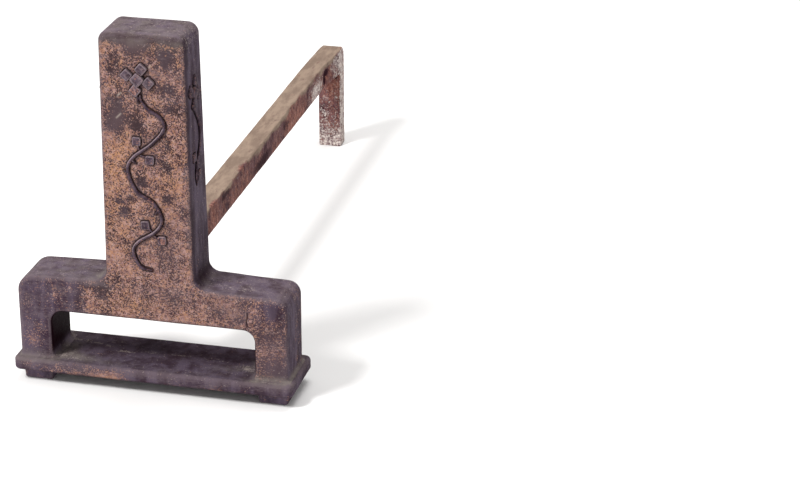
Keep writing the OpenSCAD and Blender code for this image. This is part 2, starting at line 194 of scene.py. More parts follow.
# %% Speckled coverage
speckles, given, made = start_group("speckled_coverage", {
    "Place": "Vector", "Amount": 0.5, "Patch Size": 15, "Patch Push": 1, "Grain Size": 1.35,
    "Grain Push": 1.6, "Dot Push": 0.45, "Softness": 0.09}, "Mask")
patch = sized_noise(speckles, given["Place"], given["Patch Size"], 4, 0.62)
grain = sized_noise(speckles, given["Place"], given["Grain Size"], 3, 0.7)
cells = add_node(speckles, "TexVoronoi", {"Vector": given["Place"], "Scale": 0.85})["Color"]
dots = add_node(speckles, "SeparateColor", {0: cells})[0]
level = given["Amount"]
for pattern, push in [(patch, "Patch Push"), (grain, "Grain Push"), (dots, "Dot Push")]:
    level = calc(speckles, "MULTIPLY_ADD", calc(speckles, "SUBTRACT", pattern, 0.5), given[push], level)
low_edge = calc(speckles, "SUBTRACT", 0.5, given["Softness"])
high_edge = calc(speckles, "ADD", 0.5, given["Softness"])
speckles.links.new(step_between(speckles, level, low_edge, high_edge), made)

# %% [markdown]
# Bare iron drifts between two tones over a few centimetres. The same group gives any finish its slow
# change.

# %% Drifting colour
drift, given, made = start_group(
    "drifting_colour", {"Place": "Vector", "Size": 30, "Dark": "Color", "Light": "Color"}, "Color", "Color")
slow = step_between(drift, sized_noise(drift, given["Place"], given["Size"], 5, 0.6), 0.36, 0.64)
drift.links.new(layered(drift, given["Dark"], (slow, given["Light"])), made)

# %% [markdown]
# Dust and ash settle where a surface looks up, and in corners. The group reads how far the surface faces
# up, adds the corners that are marked, and breaks both with noise.

# %% Settled dust
dust, given, made = start_group(
    "settled_dust", {"Place": "Vector", "Corners": 0, "Cover": 0.6, "Size": 12}, "Mask")
facing = add_node(dust, "SeparateXYZ", {0: add_node(dust, "NewGeometry")["Normal"]})["Z"]
upward = calc(dust, "MULTIPLY", step_between(dust, facing, 0.3, 0.95), given["Cover"])
cloud = step_between(dust, sized_noise(dust, given["Place"], given["Size"], 5, 0.65), 0.3, 0.68)
film = calc(dust, "MULTIPLY", calc(dust, "ADD", upward, given["Corners"]), calc(dust, "ADD", cloud, 0.25))
dust.links.new(calc(dust, "MINIMUM", film, 1), made)

# %% [markdown]
# Sand leaves a cast skin rough, and rust eats small pits into it. The group gives the height of both, from
# 0 to 1.

# %% Iron skin
skin, given, made = start_group(
    "iron_skin", {"Place": "Vector", "Grain Size": 1.35, "Dent Size": 9, "Pits": 0.5}, "Height")
fine = sized_noise(skin, given["Place"], given["Grain Size"], 3, 0.6)
broad = sized_noise(skin, given["Place"], given["Dent Size"], 2, 0.5)
pits = step_between(skin, sized_noise(skin, given["Place"], 2.6, 1, 0.5), 0.58, 0.86)
rough = calc(skin, "ADD", calc(skin, "MULTIPLY", fine, 0.35), calc(skin, "MULTIPLY", broad, 0.65))
skin.links.new(calc(skin, "SUBTRACT", rough, calc(skin, "MULTIPLY", pits, given["Pits"])), made)

# %% [markdown]
# A paint starts as a new material with its place in millimetres. It reads the marks that each piece carries
# as attributes: how much copper is left, worn edges and painted highlights, grime and painted shade, and so
# on.

# %% Parts of a paint
def start_paint(name):
    paint, shader = new_material(name)
    tree = paint.node_tree
    own = add_node(tree, "TexCoord")["Object"]
    return paint, tree, add_node(tree, "VectorMath", {0: own, "Scale": 1000}, operation="SCALE")[0], shader


def mark(tree, name):
    return add_node(tree, "Attribute", attribute_name=name)["Fac"]


def tone(tree, place, size, dark, light):
    return use_group(tree, drift, {"Place": place, "Size": size, "Dark": seen(*dark), "Light": seen(*light)})


def flecks(tree, place, amount, **settings):
    """Speckled coverage, by an amount or the name of a mark. patch_size=5 sets its Patch Size, and so on"""
    values = {label.replace("_", " ").title(): value for label, value in settings.items()}
    values["Amount"] = mark(tree, amount) if isinstance(amount, str) else amount
    return use_group(tree, speckles, {"Place": place, **values})


def finish_paint(tree, shader, colour, roughness, height, depth):
    bump = add_node(tree, "Bump", {"Height": height, "Distance": depth * 0.001})[0]
    for label, value in [("Base Color", colour), ("Roughness", roughness), ("Normal", bump)]:
        tree.links.new(value, shader[label])


# %% [markdown]
# The casting's finish: dark iron with a purple cast, the copper coating over it in mauve and golden specks,
# then dust, rubbed edges with painted highlights on some of them, chalk, grime with painted shade, and a
# few scratches.

# %% Cast patina
def cast_patina(name, iron_tones, copper_tones):
    paint, tree, place, shader = start_paint(name)
    iron = tone(tree, stretched(tree, place, 1, 1, 0.3), 14, *iron_tones)
    iron = layered(tree, iron, (mark(tree, "brown"), seen(56, 43, 42)))
    cells = add_node(tree, "TexVoronoi", {"Vector": place, "Scale": 0.6})["Color"]
    golden = calc(tree, "MULTIPLY", step_between(tree, cells, 0.4, 0.75), 0.55)
    golden = calc(tree, "MINIMUM", calc(tree, "MULTIPLY_ADD", mark(tree, "gold"), 0.45, golden), 1)
    copper = layered(tree, tone(tree, place, 4, *copper_tones), (golden, seen(170, 125, 92)))
    cover = flecks(tree, place, "copper")
    nook, dusty = mark(tree, "nook"), mark(tree, "dusty")
    film = use_group(tree, dust, {"Place": place, "Corners": nook, "Cover": dusty})
    # Pale rubbed flecks: wear on edges, and also painted highlights along front top edges and a painted sheen
    # on the lower left front.
    rubbed_and_highlit = flecks(tree, stretched(tree, place, 0.3, 1, 1), "worn", patch_size=12, patch_push=1.4,
                    grain_push=1.2, dot_push=0.2, softness=0.25)
    chalky = flecks(tree, place, "chalk", patch_size=4, grain_size=1.7, grain_push=2.2, softness=0.2)
    colour = layered(
        tree, iron, (cover, copper), (mark(tree, "dull"), seen(99, 81, 85)), (film, seen(113, 104, 100)),
        (calc(tree, "MULTIPLY", rubbed_and_highlit, 0.5), seen(104, 91, 96)),
        (calc(tree, "MULTIPLY", chalky, 0.6), seen(164, 150, 144)),
        # The near-black layer is grime in the gutters and crack, and painted shade under the bridge, in the
        # hollow and in corners.
        (mark(tree, "grime"), seen(25, 6, 14)), (mark(tree, "scratch"), seen(150, 138, 130)))
    height = calc(tree, "MULTIPLY_ADD", cover, 0.16, use_group(tree, skin, {"Place": place}))
    finish_paint(tree, shader, colour, calc(tree, "MULTIPLY_ADD", film, 0.35, 0.54), height, 0.7)
    shader["Specular IOR Level"].default_value = 0.015
    return paint


cast_paint = cast_patina("cast_patina", [(54, 40, 51), (85, 73, 87)], [(117, 84, 81), (161, 128, 122)])
foot_paint = cast_patina("foot_patina", [(62, 51, 64), (100, 86, 104)], [(106, 78, 77), (136, 107, 102)])

# %% [markdown]
# The flower and vine are almost black, with rubbed, paler edges. A painted highlight runs along the stem's
# upper left crest, and painted shade darkens the foot of each piece. Only a few petals and leaves keep some
# copper.

# %% Relief patina
def relief_patina(name, gloss):
    paint, tree, place, shader = start_paint(name)
    rubbed_and_highlit = flecks(tree, place, "worn", patch_size=6, grain_push=0.5, dot_push=0.1, softness=0.45)
    colour = layered(
        tree, tone(tree, place, 7, (46, 33, 43), (78, 64, 75)),
        (flecks(tree, place, "copper", patch_size=5), tone(tree, place, 3, (112, 76, 68), (152, 108, 94))),
        # The dark layer is dirt, and painted shade where the relief meets the face.
        (calc(tree, "MULTIPLY", rubbed_and_highlit, 0.75), seen(142, 126, 131)), (mark(tree, "grime"), seen(22, 16, 20)))
    height = use_group(tree, skin, {"Place": place, "Grain Size": 0.9, "Dent Size": 4})
    finish_paint(tree, shader, colour, calc(tree, "MULTIPLY_ADD", rubbed_and_highlit, -0.06, 0.4), height, 0.3)
    shader["Specular IOR Level"].default_value = gloss
    return paint


relief_paint = relief_patina("relief_patina", 0.12)
side_relief_paint = relief_patina("side_relief_patina", 0.01)

# %% [markdown]
# Fire has burnt the bar's skin. Its top is ashy tan, its sides are streaked in red-brown and dark scale,
# and pale crust clings near the leg. Painted shadow darkens the fold near the leg, and painted shade the
# undersides and the part of the bar inside the casting.

# %% Wrought rust
bar_paint, tree, place, shader = start_paint("wrought_rust")
along, downward = stretched(tree, place, 1, 0.3, 1), stretched(tree, place, 1, 1, 0.55)
rusty = flecks(tree, downward, "rust", patch_size=7, grain_size=1.7, dot_push=0.1, softness=0.3)
crusted = flecks(tree, place, "crust", patch_size=6, grain_size=2.2, dot_push=0.2, softness=0.28)
ashes = calc(tree, "MULTIPLY", mark(tree, "ash"), 2.2)
ashy = use_group(tree, dust, {"Place": along, "Corners": ashes, "Cover": 0, "Size": 4})
# The darkest layer: dark patches along the sides, painted shadow in the fold by the leg, and painted shade
# under the bar and inside the casting.
grimy_and_shaded = flecks(tree, downward, "grime", patch_size=6, patch_push=0.8, grain_push=1, dot_push=0.1,
               softness=0.26)
colour = layered(
    tree, tone(tree, downward, 8, (60, 36, 42), (104, 74, 76)),
    (rusty, tone(tree, downward, 3, (116, 70, 62), (160, 114, 100))),
    (crusted, tone(tree, place, 3, (150, 134, 134), (216, 204, 196))),
    (ashy, tone(tree, along, 9, (122, 104, 92), (144, 125, 110))), (grimy_and_shaded, seen(44, 16, 24)))
height = use_group(tree, skin, {"Place": place, "Grain Size": 1.8, "Dent Size": 7, "Pits": 0.8})
height = calc(tree, "MULTIPLY_ADD", crusted, 0.5, height)
finish_paint(tree, shader, colour, calc(tree, "MULTIPLY_ADD", ashy, 0.2, 0.66), height, 0.9)
shader["Specular IOR Level"].default_value = 0.03

# %% [markdown]
# The bolts and screws are plainer: dark oiled iron that has started to rust.

# %% Fastener iron
bolt_paint, tree, place, shader = start_paint("oiled_iron")
rusty = flecks(tree, place, 0.36, patch_size=5, grain_size=1.1)
colour = layered(tree, tone(tree, place, 6, (48, 42, 44), (78, 68, 66)),
                 (rusty, tone(tree, place, 2, (84, 54, 44), (122, 80, 60))))
height = use_group(tree, skin, {"Place": place, "Grain Size": 0.8, "Dent Size": 3})
finish_paint(tree, shader, colour, calc(tree, "MULTIPLY_ADD", rusty, 0.3, 0.45), height, 0.25)
shader["Metallic"].default_value = 0.5
print("paints:", [m.name for m in bpy.data.materials])

# %% [markdown]
# Every piece is modelled in millimetres, as its maker would measure it. These helpers soften edges, cut one
# mesh with others and slice a mesh into small faces, so that it can be made uneven.

# %% Helpers for shapes
def chosen(items, test):
    return [item for item in items if test(item)]


def soften(bm, edges, radius, steps=4):
    bmesh.ops.bevel(bm, geom=list(edges), offset=radius, segments=steps, profile=0.5, affect="EDGES",
                    material=-1)


def evaluated(spare, helpers=()):
    graph = bpy.context.evaluated_depsgraph_get()
    bm = bmesh.new()
    bm.from_mesh(spare.evaluated_get(graph).to_mesh())
    for used in [spare, *helpers]:
        bpy.data.objects.remove(used)
    return bm


def carved(bm, steps):
    spare = add_object("spare", mesh_from(bm, "spare"))
    tools = [add_object("tool", mesh_from(tool, "tool")) for operation, tool in steps]
    for (operation, _), tool in zip(steps, tools):
        cut = spare.modifiers.new(operation.lower(), "BOOLEAN")
        cut.operation, cut.solver, cut.object = operation, "MANIFOLD", tool
    return evaluated(spare, tools)


def slice_up(bm, axis, places):
    """Cuts a mesh across one axis at each place, but only those faces that the cut really crosses"""
    normal = Vector((0, 0, 0))
    normal[axis] = 1
    for place in places:
        spans = [(f, [v.co[axis] for v in f.verts]) for f in bm.faces]
        near = [f for f, span in spans if min(span) < place < max(span)]
        edges = {e for f in near for e in f.edges}
        verts = {v for f in near for v in f.verts}
        bmesh.ops.bisect_plane(bm, geom=[*verts, *edges, *near], dist=1e-4, plane_co=normal * place,
                               plane_no=normal)


def soft_box(low, high, radius, steps=3, keep=None):
    bm = bmesh.new()
    bmesh.ops.create_cube(bm, size=1)
    low, high = Vector(low), Vector(high)
    bmesh.ops.scale(bm, vec=high - low, verts=bm.verts)
    bmesh.ops.translate(bm, vec=(low + high) / 2, verts=bm.verts)
    soften(bm, chosen(bm.edges, keep) if keep else bm.edges, radius, steps)
    return bm


def merged(parts):
    whole = bmesh.new()
    for part in parts:
        mesh = mesh_from(part, "part")
        whole.from_mesh(mesh)
        bpy.data.meshes.remove(mesh)
    return whole


# %% [markdown]
# Neither sand casting nor forging leaves a face perfectly flat, so each point sinks a little, by smooth
# noise. A piece never grows past its measured size that way. Then the piece is finished: it gets its
# marks as attributes and its paint, it is attached to the root, and the CAD pieces that it stands for are
# hidden.

# %% Uneven faces and finished pieces
def weather(bm, broad, fine, seed):
    bm.normal_update()
    shift = Vector((seed * 7.1, seed * 3.7, seed * 1.9))
    for vert in bm.verts:
        wave = noise.noise(vert.co / 42 + shift)
        ripple = noise.noise(vert.co / 8.5 + shift)
        vert.co -= vert.normal * (broad * (0.8 + wave) + fine * (0.7 + ripple))


def bend_of(bm):
    """How sharply the surface bends at each point: 1 on an outer edge, -1 in a corner"""
    bm.normal_update()
    angles = [[e.calc_face_angle_signed(0) for e in v.link_edges] for v in bm.verts]
    return np.clip(np.array([sum(around) / max(1, len(around)) for around in angles]) / 0.13, -1, 1)


def ease(values, low, high):
    share = np.clip((values - low) / (high - low), 0, 1)
    return share * share * (3 - 2 * share)


def bell(values, middle, reach):
    """1 at the middle value, fading out on both sides of it"""
    return np.exp(-((values - middle) / reach) ** 2)


def spot(across, up, place, size):
    """1 in the middle of an oval patch, fading out around it"""
    return bell(across, place[0], size[0]) * bell(up, place[1], size[1])


def patches(across, up, ovals):
    """Oval patches together, each given by its place across and up, half width, half height and how much"""
    return sum(more * spot(across, up, oval[:2], oval[2:]) for *oval, more in ovals)


def place_piece(bm, name, nodes, paint, marks, sharp=35):
    bends = bend_of(bm)
    points = np.array([v.co for v in bm.verts])
    normals = np.array([v.normal for v in bm.verts])
    bmesh.ops.scale(bm, vec=(0.001, 0.001, 0.001), verts=bm.verts)
    mesh = mesh_from(bm, name)
    mesh.shade_smooth()
    mesh.set_sharp_from_angle(angle=math.radians(sharp))
    for label, values in marks(points, normals, bends).items():
        layer = mesh.attributes.new(label, "FLOAT", "POINT")
        layer.data.foreach_set("value", (np.clip(values, 0, 1) * np.ones(len(points))).astype(np.float32))
    mesh.materials.append(paint)
    piece = add_object(name, mesh)
    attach(piece, "root")
    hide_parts(*nodes)
    mesh.calc_loop_triangles()
    print(name, len(mesh.loop_triangles), "triangles")


# %% [markdown]
# The standard is one casting: the pillar and the bridge that carries it. A founder would have carved its
# front view in wood. So it starts as that outline, is pulled back to its full depth, and each corner gets
# its own radius. The two shoulders aren't alike: the left one is rounder, as it is on the real casting.

# %% Outline of the standard
STANDARD_FRONT, STANDARD_BACK = -371.5, -314.5
STANDARD_MIDDLE = (STANDARD_FRONT + STANDARD_BACK) / 2
PLATE_TOP, LEG_END, TAPER_START = 28, 32, 138.5
OPENING, SHOULDER, VALLEY, PILLAR_TOP = (111, 81.5), (147.5, 120), (48.25, 123.36), (45.75, 397.5)
FACE_LEAN, SIDE_LEAN = 0.00965, 0.009174


def pulled_outline(corners, way):
    bm = bmesh.new()
    face = bm.faces.new([bm.verts.new(corner) for corner in corners])
    pulled = bmesh.ops.extrude_face_region(bm, geom=[face])["geom"]
    bmesh.ops.translate(bm, vec=way, verts=chosen(pulled, lambda g: isinstance(g, bmesh.types.BMVert)))
    bmesh.ops.recalc_face_normals(bm, faces=bm.faces)
    return bm


def both_sides(right_half, y):
    return [(x, y, z) for x, z in right_half] + [(-x, y, z) for x, z in reversed(right_half)]


def corner_edges(bm, axes, corner):
    return chosen(bm.edges, lambda e: all(
        math.hypot(v.co[axes[0]] - corner[0], v.co[axes[1]] - corner[1]) < 0.01 for v in e.verts))


def rims(bm, axis):
    """Edges between the faces that look along an axis and the faces round them"""
    return chosen(
        bm.edges, lambda e: sorted(abs(f.normal[axis]) > 0.9 for f in e.link_faces) == [False, True])


outline = [OPENING, (OPENING[0], LEG_END), (SHOULDER[0], LEG_END), SHOULDER, VALLEY, PILLAR_TOP]
standard = pulled_outline(both_sides(outline, STANDARD_FRONT), (0, STANDARD_BACK - STANDARD_FRONT, 0))
for (x, z), *radii in [(SHOULDER, 13, 18), (VALLEY, 11.5, 11.5), (PILLAR_TOP, 11.5, 11.5), (OPENING, 13, 13)]:
    for side, radius in zip((1, -1), radii):
        soften(standard, corner_edges(standard, (0, 2), (side * x, z)), radius, 8)
print("outline:", len(standard.faces), "faces")

# %% [markdown]
# Above the bridge the pillar gets thinner towards its top. The casting has soft front and back edges all
# round, and its two legs run out in a small fillet onto the plate.

# %% Taper, soft edges and fillets
everything = standard.verts[:] + standard.edges[:] + standard.faces[:]
bmesh.ops.bisect_plane(standard, geom=everything, dist=1e-4, plane_co=(0, 0, TAPER_START), plane_no=(0, 0, 1))
half_depth = (STANDARD_BACK - STANDARD_FRONT) / 2
for vert in standard.verts:
    thin = 1 - max(0, vert.co.z - TAPER_START) * FACE_LEAN / half_depth
    vert.co.y = STANDARD_MIDDLE + (vert.co.y - STANDARD_MIDDLE) * thin

soles = chosen(standard.faces, lambda f: f.calc_center_median().z < LEG_END + 0.01)
bmesh.ops.delete(standard, geom=soles, context="FACES_ONLY")
soften(standard, rims(standard, 1), 4, 5)

FILLET_STEPS = 5
FILLET_ACROSS, FILLET_BACK, FILLET_RISE = 2.75, 3.6, LEG_END - PLATE_TOP
SOLE = PLATE_TOP - 3
half_leg = (SHOULDER[0] - OPENING[0]) / 2
for side in (-1, 1):
    centre = Vector((side * (OPENING[0] + half_leg), STANDARD_MIDDLE, 0))
    rim = chosen(standard.edges, lambda e: e.is_boundary and side * e.verts[0].co.x > 0)
    half_size = (half_leg, half_depth)
    for step in range(1, FILLET_STEPS + 2):
        turn = math.pi / 2 * min(1, step / FILLET_STEPS)
        level = LEG_END - FILLET_RISE * math.sin(turn) if step <= FILLET_STEPS else SOLE
        grown = bmesh.ops.extrude_edge_only(standard, edges=rim)["geom"]
        rim = chosen(grown, lambda g: isinstance(g, bmesh.types.BMEdge) and g.is_boundary)
        ring = list({v for e in rim for v in e.verts})
        last_size, spread = half_size, 1 - math.cos(turn)
        half_size = (half_leg + FILLET_ACROSS * spread, half_depth + FILLET_BACK * spread)
        wider = (half_size[0] / last_size[0], half_size[1] / last_size[1], 1)
        bmesh.ops.scale(standard, vec=wider, verts=ring, space=Matrix.Translation(-centre))
        for vert in ring:
            vert.co.z = level
bmesh.ops.holes_fill(standard, edges=chosen(standard.edges, lambda e: e.is_boundary))
bmesh.ops.recalc_face_normals(standard, faces=standard.faces)
print("standard:", len(standard.faces), "faces, open edges:", sum(e.is_boundary for e in standard.edges))

# %% [markdown]
# The real casting is hollow and open at the back, so that its walls cool evenly. A core fills that space in
# the mould. Here the core is a mesh of its own that is cut away, and two lugs that grip the bar are added
# to the wall. Both meshes are sliced first, because a Boolean cuts small faces more cleanly than large ones
# with many corners. The slices also let the legs' inner faces curve out a little where they meet the plate.

# %% Hollow, lugs and holes
HOLLOW_FRONT = -362
core = pulled_outline(
    both_sides([(140.5, 88.5), (140.5, 108), (135.5, 113), (41.25, 116.4), (38.75, 390.5)], HOLLOW_FRONT),
    (0, STANDARD_BACK + 10 - HOLLOW_FRONT, 0))
soften(core, chosen(core.edges, lambda e: abs(e.verts[0].co.y - e.verts[1].co.y) > 1), 2, 3)
soften(core, chosen(core.edges, lambda e: max(v.co.y for v in e.verts) < HOLLOW_FRONT + 0.01), 2, 3)
for block, low, high in [(standard, -147, 147), (core, -138, 139)]:
    slice_up(block, 2, [33, 34.4, *np.arange(36, 396, 5.2)])
    slice_up(block, 0, np.arange(low, high, 5.3))
    slice_up(block, 1, np.arange(-367, -306, 5.1))

INNER_FILLET = 9
for vert in standard.verts:
    rise = max(0, vert.co.z - PLATE_TOP)
    if abs(vert.co.x) < OPENING[0] + 2 and rise < INNER_FILLET:
        inward = INNER_FILLET - math.sqrt(INNER_FILLET ** 2 - (INNER_FILLET - rise) ** 2)
        vert.co.x -= math.copysign(0.4 * inward, vert.co.x)


def drill(centre, direction, radius, length, tip=None):
    bm = bmesh.new()
    bmesh.ops.create_cone(bm, cap_ends=True, segments=40, radius1=radius, radius2=tip or radius, depth=length)
    turn = Vector(direction).to_track_quat("Z", "Y").to_matrix().to_4x4()
    bmesh.ops.transform(bm, matrix=turn, verts=bm.verts)
    bmesh.ops.translate(bm, vec=centre, verts=bm.verts)
    return bm


BAR_LEFT, BAR_RIGHT = -21.05, 5.05
LUG_LEFT, LUG_RIGHT = BAR_LEFT - 8, BAR_RIGHT + 8
BOLTS_Y, BOLT_Z = (-351.25, -329.25), 116
BOLT_HOLE, SCREW_HOLE = 4.3, 3.3
FOOT_X, FOOT_Y = 129.75, -340.5
SCREWS = [(x, y) for x in (-FOOT_X, FOOT_X) for y in (FOOT_Y - 16, FOOT_Y + 16)]
works = [("DIFFERENCE", core)]
for low, high in [(LUG_LEFT, BAR_LEFT), (BAR_RIGHT, LUG_RIGHT)]:
    works.append(("UNION", soft_box((low, HOLLOW_FRONT - 2, 86), (high, -318.5, 139.5), 1.6)))
works += [("DIFFERENCE", drill((-8, y, BOLT_Z), (1, 0, 0), BOLT_HOLE, 60)) for y in BOLTS_Y]
works += [("DIFFERENCE", drill((x, y, LEG_END), (0, 0, 1), SCREW_HOLE, 42)) for x, y in SCREWS]
standard = carved(standard, works)


def on_back_rim(edge):
    middle = (edge.verts[0].co + edge.verts[1].co) / 2
    inside = abs(middle.x) < 141.5 and 87.5 < middle.z < 391.5 and middle.y > -318.2
    return inside and sorted(f.normal.y > 0.995 for f in edge.link_faces) == [False, True]


soften(standard, chosen(standard.edges, on_back_rim), 1.2, 3)
open_edges = sum(e.is_boundary for e in standard.edges)
print("hollow standard:", len(standard.faces), "faces, open edges:", open_edges)

# %% [markdown]
# The flower and vine are drawn flat, in millimetres across and up one face of the pillar. The frame of each
# face is a matrix: its columns point across the face, up it and out of it. The left side mirrors the right
# one. Coppery spots say where a petal, a leaf or the stem has kept its coating.

# %% Plan of the flower and vine
def face_frame(origin, across, up):
    across, up = Vector(across).normalized(), Vector(up).normalized()
    return Matrix.Translation(origin) @ Matrix((across, up, across.cross(up))).transposed().to_4x4()


front_face = face_frame((0, STANDARD_FRONT, TAPER_START), (1, 0, 0), (0, FACE_LEAN, 1))
right_face = face_frame((48.126, STANDARD_MIDDLE, TAPER_START), (0, 1, 0), (-SIDE_LEAN, 0, 1))
left_face = Matrix.Diagonal((-1, 1, 1, 1)) @ right_face

PETALS = [(69, 50), (-14, 48), (-103, 52), (160, 47)]
PETAL_REACH = 12
front_plan = {
    "side": "front", "face": front_face, "paint": relief_paint, "up": 210.5, "flower": -4.5, "rise": 1,
    "groove": 0.9,
    "knots": [(-4.5, -18.5), (5, -30.5), (17.5, -38.5), (22, -50.5), (8, -68), (-12, -84), (-18.5, -98.5),
              (-10, -121), (8, -133), (16, -150), (9, -164), (-10, -177), (-16, -189), (-9, -204.5),
              (3, -208)],
    "coppery": {"flower_petals": [(-7.2, -11.7, 6, 6, 0.42)], "vine_stem": [(2.3, -128, 4, 4, 0.2)],
                "vine_leaves": [(15.5, -173.5, 7, 7, 0.3), (5.5, -86, 5, 5, 0.1)]},
    "leaves": [(-8, -66.5, -3), (5.5, -86, -4), (-2, -158, 5), (15.5, -173.5, 4)],
    "knuckles": [(18.8, -40), (-14, -92), (2.3, -128.5), (14, -145), (-5.5, -176), (21.5, -53)],
    "twigs": [((-7, -71), (-4.8, -76.5)), ((1, -83), (-4.5, -81.5)), ((1.5, -161), (5.5, -165.5)),
              ((11.5, -171.5), (6.5, -169)), ((-18.5, -101.5), (-22.6, -99.8)), ((-13, -88), (-9.6, -90.6)),
              ((12, -141), (9.3, -144.8)), ((-5.6, -17), (-4.4, -25)), ((-2.2, -16.5), (-1.2, -24))],
}
right_plan = {
    "side": "right", "face": right_face, "paint": side_relief_paint, "up": 192, "flower": -2.5, "rise": 0.6,
    "groove": 1.1, "coppery": {},
    "knots": [(-3, -18.5), (6, -31), (11, -43), (10, -57), (3, -69), (-4, -79), (-7, -89), (-4, -98)],
    "leaves": [(-8.5, -68, -4), (3.5, -91, 5)],
    "knuckles": [(8.5, -36), (0, -73)],
    "twigs": [((-6, -71), (-1, -75)), ((1, -90), (-5, -87))],
}
left_plan = dict(right_plan, side="left", face=left_face, rise=0.5)
plans = [front_plan, right_plan, left_plan]


def smooth_line(knots, steps=6):
    ends = [Vector(k) for k in (knots[0], *knots, knots[-1])]
    line = []
    for a, b, c, d in zip(ends, ends[1:], ends[2:], ends[3:]):
        for t in np.arange(steps) / steps:
            line.append(0.5 * (2 * b + (c - a) * t + (2 * a - 5 * b + 4 * c - d) * t ** 2
                               + (3 * b - a - 3 * c + d) * t ** 3))
    return line + [ends[-1]]


print("vine points on the front:", len(smooth_line(front_plan["knots"])))

# %% [markdown]
# The pattern maker cut a narrow gutter round the vine, and dirt has blackened it since; painted shade darkens
# it further. The gutter is pressed into the casting: the faces there are divided to about a millimetre, and
# each point sinks by its distance from the nearest stem, leaf or petal. A fine crack that the casting got
# above its opening is pressed in the same way.

# %% Gutters round the vine
def near_line(spots, line):
    """Distance from each spot to a line of points"""
    nearest = np.full(len(spots), 1e9)
    for a, b in zip(line, line[1:]):
        a, along = np.array(a), np.array(b) - np.array(a)
        share = np.clip((spots - a) @ along / (along @ along), 0, 1)
        nearest = np.minimum(nearest, np.linalg.norm(spots - a - share[:, None] * along, axis=1))
    return nearest


def near_square(spots, centre, turn, width):
    c, s, corner = math.cos(math.radians(turn)), math.sin(math.radians(turn)), 1.5
    local = np.abs((spots - np.array(centre)) @ np.array([[c, -s], [s, c]])) - (width / 2 - corner)
    return np.linalg.norm(np.maximum(local, 0), axis=1) + np.minimum(local.max(axis=1), 0) - corner


def petal_centre(plan, direction):
    angle = math.radians(direction)
    return plan["flower"] + PETAL_REACH * math.cos(angle), PETAL_REACH * math.sin(angle)


def gap_to_relief(spots, plan):
    """Distance from each spot on the face to the nearest edge of the relief, in the plan's own millimetres"""
    gaps = [near_line(spots, smooth_line(plan["knots"])) - 1.6]
    gaps += [near_line(spots, [Vector(a), Vector(b)]) - 0.9 for a, b in plan["twigs"]]
    gaps += [near_square(spots, (x, y), turn, 9) for x, y, turn in plan["leaves"]]
    gaps += [near_square(spots, petal_centre(plan, way), turn, 10) for way, turn in PETALS]
    gaps.append(near_square(spots, (plan["flower"], 0), 48, 11))
    return np.min(gaps, axis=0)


def flat_on(points, plan):
    """Points as across and up on the plan, and how far they are out of the face"""
    inverse = np.array(plan["face"].inverted())
    local = points @ inverse[:3, :3].T + inverse[:3, 3]
    return local[:, :2] - np.array([0, plan["up"]]), local[:, 2]


def groove(gap):
    return bell(np.maximum(gap - 0.3, 0), 0, 0.7)


def looks_out(face, plan, low, high, reach):
    centre = plan["face"].inverted() @ face.calc_center_median()
    out = plan["face"].to_3x3() @ Vector((0, 0, 1))
    return face.normal.dot(out) > 0.98 and low < centre.y - plan["up"] < high and abs(centre.x) < reach


def divide(bm, test, cuts):
    edges = list({e for f in chosen(bm.faces, test) for e in f.edges})
    bmesh.ops.subdivide_edges(bm, edges=edges, cuts=cuts, use_grid_fill=True)


weather(standard, 0.22, 0.1, 1)
standard.normal_update()
for plan, low, reach in [(front_plan, -214, 34), (right_plan, -104, 23), (left_plan, -104, 23)]:
    divide(standard, lambda f: looks_out(f, plan, low, 24, reach), 4)
    standard.normal_update()
    points = np.array([v.co for v in standard.verts])
    spots, out = flat_on(points, plan)
    sunk = groove(gap_to_relief(spots, plan)) * (np.abs(out) < 1.5) * plan["groove"]
    way = plan["face"].to_3x3() @ Vector((0, 0, 1))
    for vert, depth in zip(standard.verts, sunk):
        vert.co -= way * float(depth)

CRACK = [Vector(place) for place in [(104.3, 88), (103.4, 94), (104.8, 98), (104.4, 102.5)]]
CRACK_X = 104
divide(standard, lambda f: f.normal.y < -0.9 and abs(f.calc_center_median().x - CRACK_X) < 6
       and 84 < f.calc_center_median().z < 105, 6)
for vert in standard.verts:
    if vert.co.y < STANDARD_FRONT + 3 and abs(vert.co.x - CRACK_X) < 6 and 80 < vert.co.z < 108:
        gap = near_line(np.array([[vert.co.x, vert.co.z]]), CRACK)[0]
        vert.co.y += 0.7 * math.exp(-(gap / 0.7) ** 2)
print("standard with gutters:", len(standard.faces), "faces")

# %% [markdown]
# Marks say where the copper is thick or gone, where edges are rubbed and where grime, dust or chalk sits,
# and where shade and highlights are painted.
# Patches are ovals, placed where the real casting shows them: across, up, half width, half height
# and how much.

